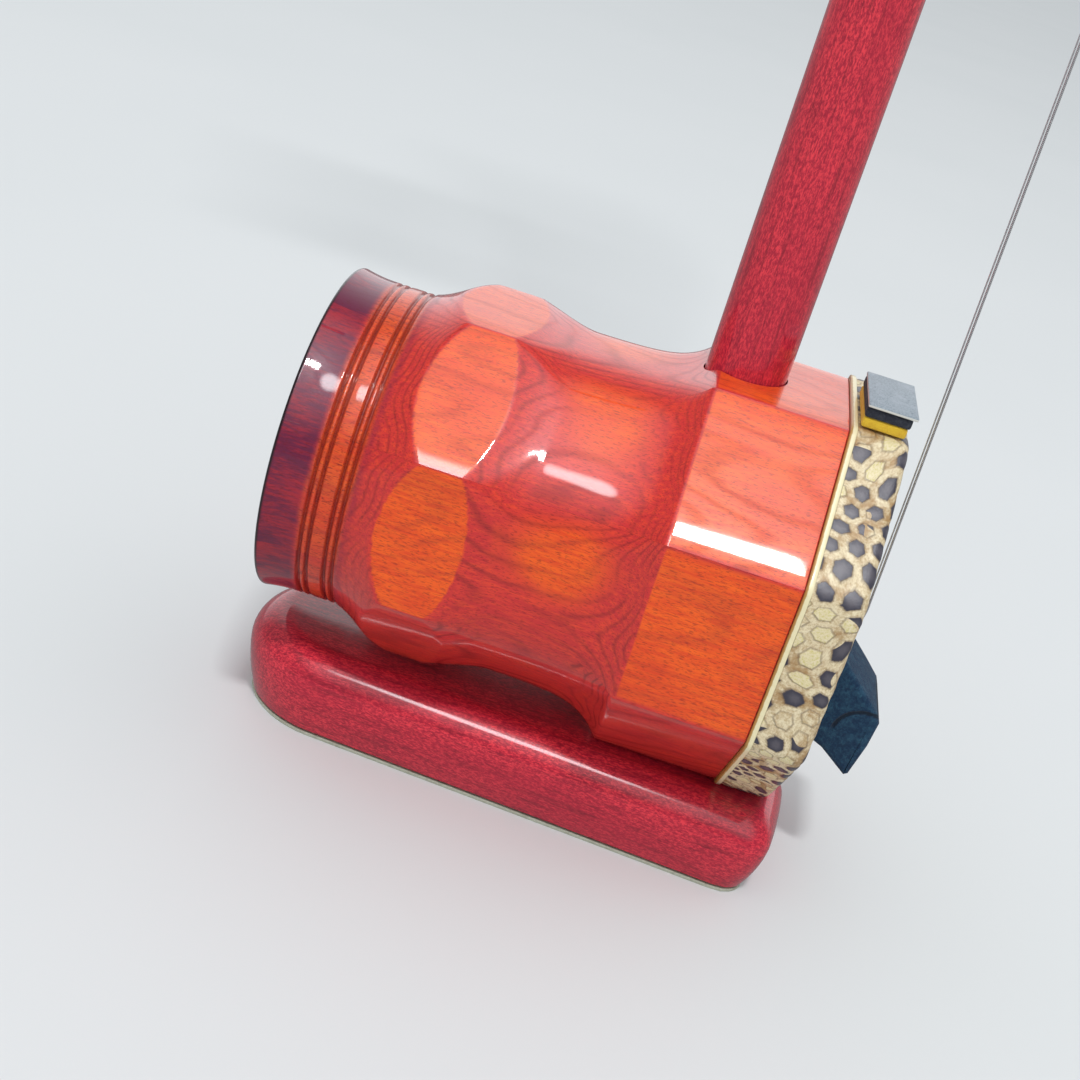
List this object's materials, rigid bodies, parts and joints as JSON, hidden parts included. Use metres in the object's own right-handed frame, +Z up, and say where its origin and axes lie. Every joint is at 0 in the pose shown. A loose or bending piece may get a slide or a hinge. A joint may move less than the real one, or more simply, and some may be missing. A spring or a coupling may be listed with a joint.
{
  "type": "two-string fiddle",
  "caption": "Octagonal turned sound box with a snakeskin face on a footed base, long round neck with tuning pegs and strings.",
  "frame": {"origin": "on the flat bottom of the base, under the neck axis", "axes": "+Z up along the neck, the snakeskin face looks along -Y, +X to the right seen from the skin"},
  "size_m": [0.0902, 0.1814, 0.81],
  "materials": {
    "box_lacquer": "gloss red lacquer over figured hardwood",
    "dark_lacquer": "gloss crimson lacquer",
    "snakeskin": "scaled python skin, varnished",
    "edge_strip": "cream binding",
    "window": "satin dark wood",
    "bone": "polished bone",
    "steel_string": "wound steel string",
    "thread": "waxed silk thread",
    "bridge_wood": "bare dark hardwood",
    "felt": "navy wool felt",
    "ribbon": "yellow foam ribbon",
    "guard_leather": "grey blue leather",
    "cork": "pale cork sheet",
    "brass": "bright brass"
  },
  "bodies": {
    "body": {"stave_right": "box_lacquer", "stave_upper_right": "box_lacquer", "stave_top": "box_lacquer", "stave_upper_left": "box_lacquer", "stave_left": "box_lacquer", "stave_lower_left": "box_lacquer", "stave_bottom": "box_lacquer", "stave_lower_right": "box_lacquer", "snakeskin": "snakeskin", "edge_strip": "edge_strip", "sound_window": "window", "neck": "dark_lacquer", "head": "dark_lacquer", "head_cap": "bone", "inner_string": "steel_string", "outer_string": "steel_string", "bridge": "bridge_wood", "damper": "felt", "guard_ribbon": "ribbon", "guard_felt": "felt", "guard_leather": "guard_leather", "base": "dark_lacquer", "base_pad": "cork", "base_screw": "brass", "string_hook": "brass"},
    "upper_peg": {"upper_peg": "dark_lacquer", "upper_peg_cap": "bone", "upper_winding": "steel_string"},
    "lower_peg": {"lower_peg": "dark_lacquer", "lower_peg_cap": "bone", "lower_winding": "steel_string"},
    "qianjin": {"qianjin": "thread"}
  },
  "joints": [
    {"name": "upper_peg_turn", "type": "hinge", "parent": "body", "child": "upper_peg", "pos_m": [0, 0, 0.686], "axis": [0, 1, 0], "continuous": true},
    {"name": "lower_peg_turn", "type": "hinge", "parent": "body", "child": "lower_peg", "pos_m": [0, 0, 0.591], "axis": [0, 1, 0], "continuous": true},
    {"name": "qianjin_slide", "type": "slide", "parent": "body", "child": "qianjin", "axis": [0, 0, 1], "range_m": [-0.01, 0.01]}
  ]
}
